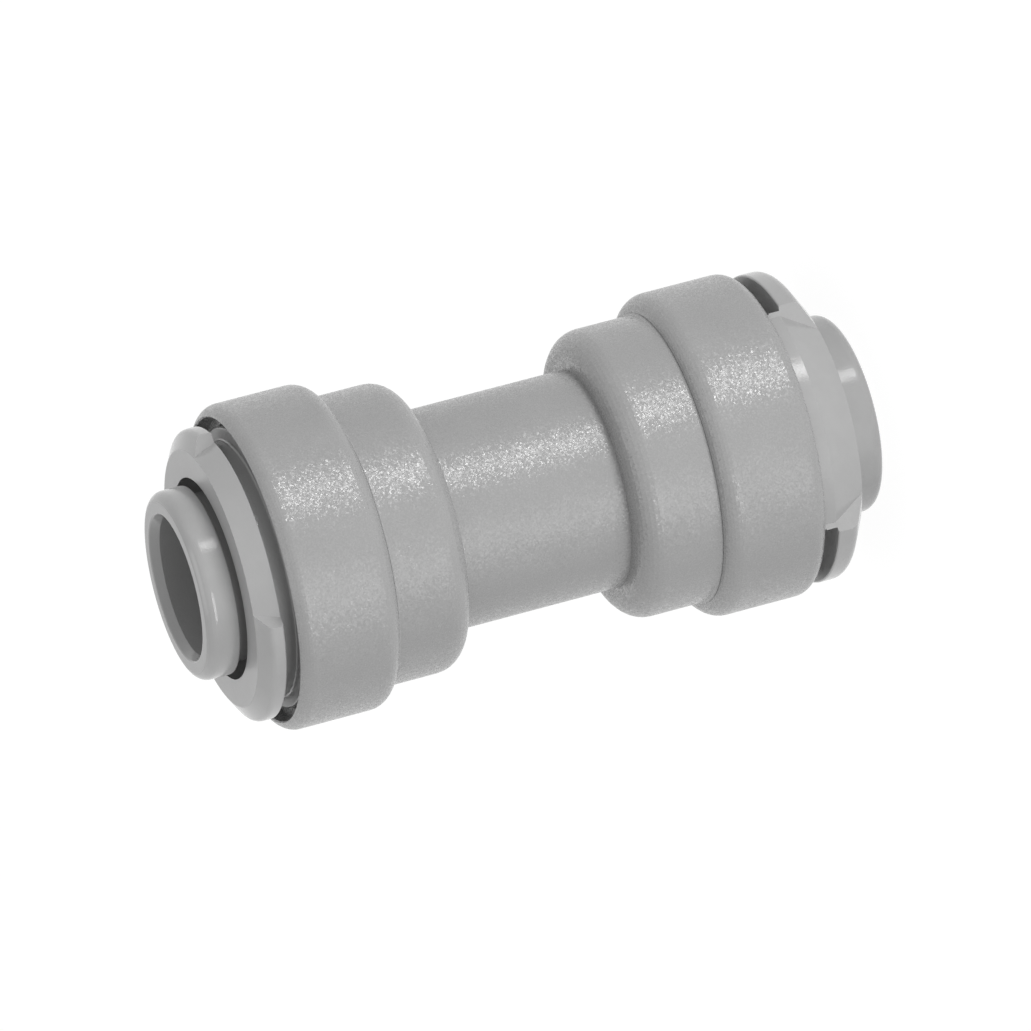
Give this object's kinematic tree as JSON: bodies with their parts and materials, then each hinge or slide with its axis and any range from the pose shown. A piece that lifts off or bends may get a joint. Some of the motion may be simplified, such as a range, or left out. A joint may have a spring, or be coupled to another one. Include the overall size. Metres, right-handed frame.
{
  "type": "push-in union",
  "caption": "Straight push-in union for thin plastic tube: stepped moulded body, a snap-in retainer ring at each end and a press-in gripping collet in each.",
  "frame": {"origin": "on the axis at the lower collet's face, on which the fitting stands", "axes": "+Z along the fitting's axis towards the upper collet; +Y away from the side with the lower rim's web"},
  "size_m": [0.0152, 0.0152, 0.0329],
  "materials": {
    "body_acetal": "matte, spark-eroded grain",
    "retainer_acetal": "semi-gloss",
    "collet_acetal": "semi-gloss",
    "o_ring_rubber": "satin",
    "tooth_steel": "rolled"
  },
  "bodies": {
    "fitting": {"body": "body_acetal", "upper_retainer": "retainer_acetal", "upper_o_ring": "o_ring_rubber", "upper_spacer": "retainer_acetal", "lower_retainer": "retainer_acetal", "lower_o_ring": "o_ring_rubber", "lower_spacer": "retainer_acetal"},
    "upper_grip": {"upper_collet": "collet_acetal", "upper_tooth_1": "tooth_steel", "upper_tooth_2": "tooth_steel", "upper_tooth_3": "tooth_steel", "upper_tooth_4": "tooth_steel", "upper_tooth_5": "tooth_steel", "upper_tooth_6": "tooth_steel"},
    "lower_grip": {"lower_collet": "collet_acetal", "lower_tooth_1": "tooth_steel", "lower_tooth_2": "tooth_steel", "lower_tooth_3": "tooth_steel", "lower_tooth_4": "tooth_steel", "lower_tooth_5": "tooth_steel", "lower_tooth_6": "tooth_steel"}
  },
  "joints": [
    {"name": "upper_collet_press", "type": "slide", "parent": "fitting", "child": "upper_grip", "axis": [0, 0, -1], "range_m": [0, 0.0016]},
    {"name": "lower_collet_press", "type": "slide", "parent": "fitting", "child": "lower_grip", "axis": [0, 0, 1], "range_m": [0, 0.0016]}
  ]
}
